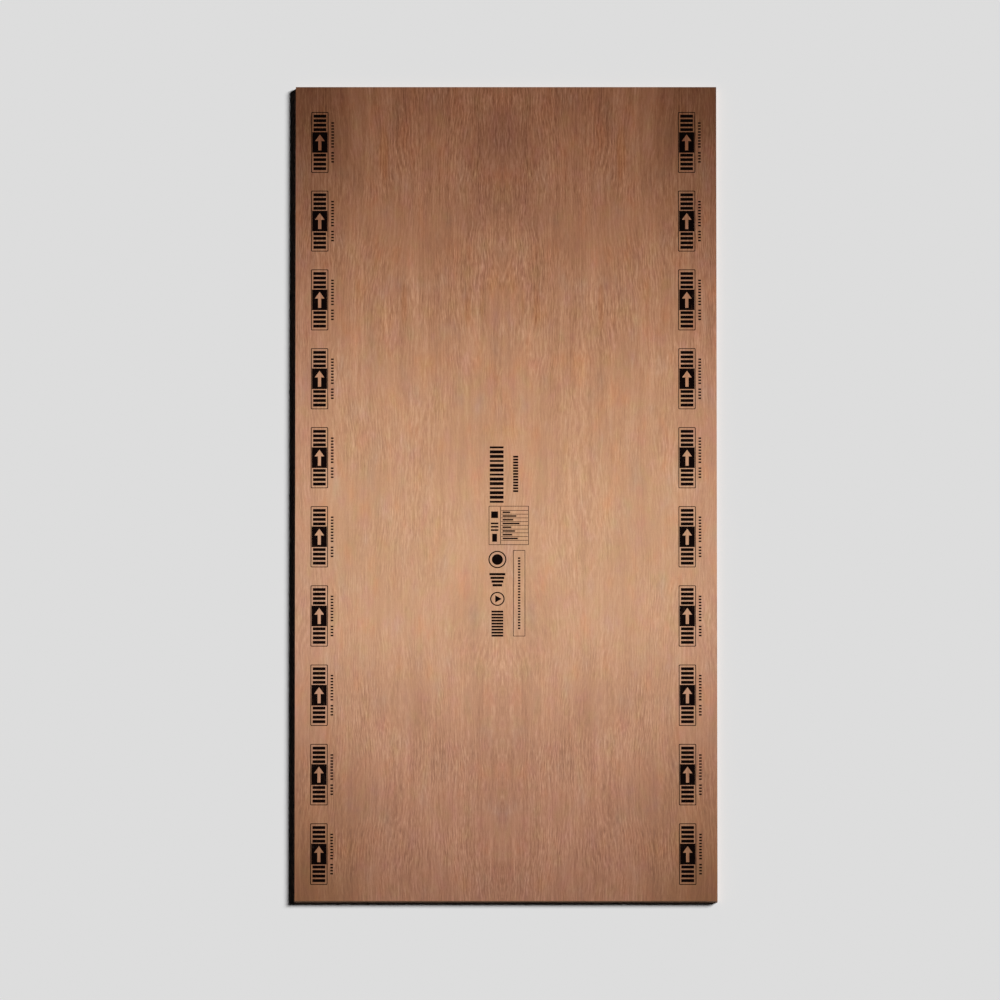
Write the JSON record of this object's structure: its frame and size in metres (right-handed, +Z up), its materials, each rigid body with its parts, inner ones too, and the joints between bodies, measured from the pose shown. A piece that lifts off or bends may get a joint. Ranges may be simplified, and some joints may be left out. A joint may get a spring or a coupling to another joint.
{
  "type": "plywood sheet",
  "caption": "Full rectangular sheet of hardwood-faced plywood lying flat, with plain flat faces, sawn square sides and barely eased edges, used as board stock.",
  "frame": {"origin": "middle of the underside, on the surface that the sheet lies on", "axes": "+X across the sheet, along its short side; +Y along its long side, which is the way the face grain runs; +Z up, out of the marked face"},
  "size_m": [1.22, 2.44, 0.018],
  "materials": {
    "hardwood_ply": "sanded, unsealed reddish-brown rotary-cut hardwood veneer with a fine lengthwise grain; plies show on the sawn sides"
  },
  "bodies": {
    "root": {"plywood_sheet": "hardwood_ply"}
  },
  "joints": []
}
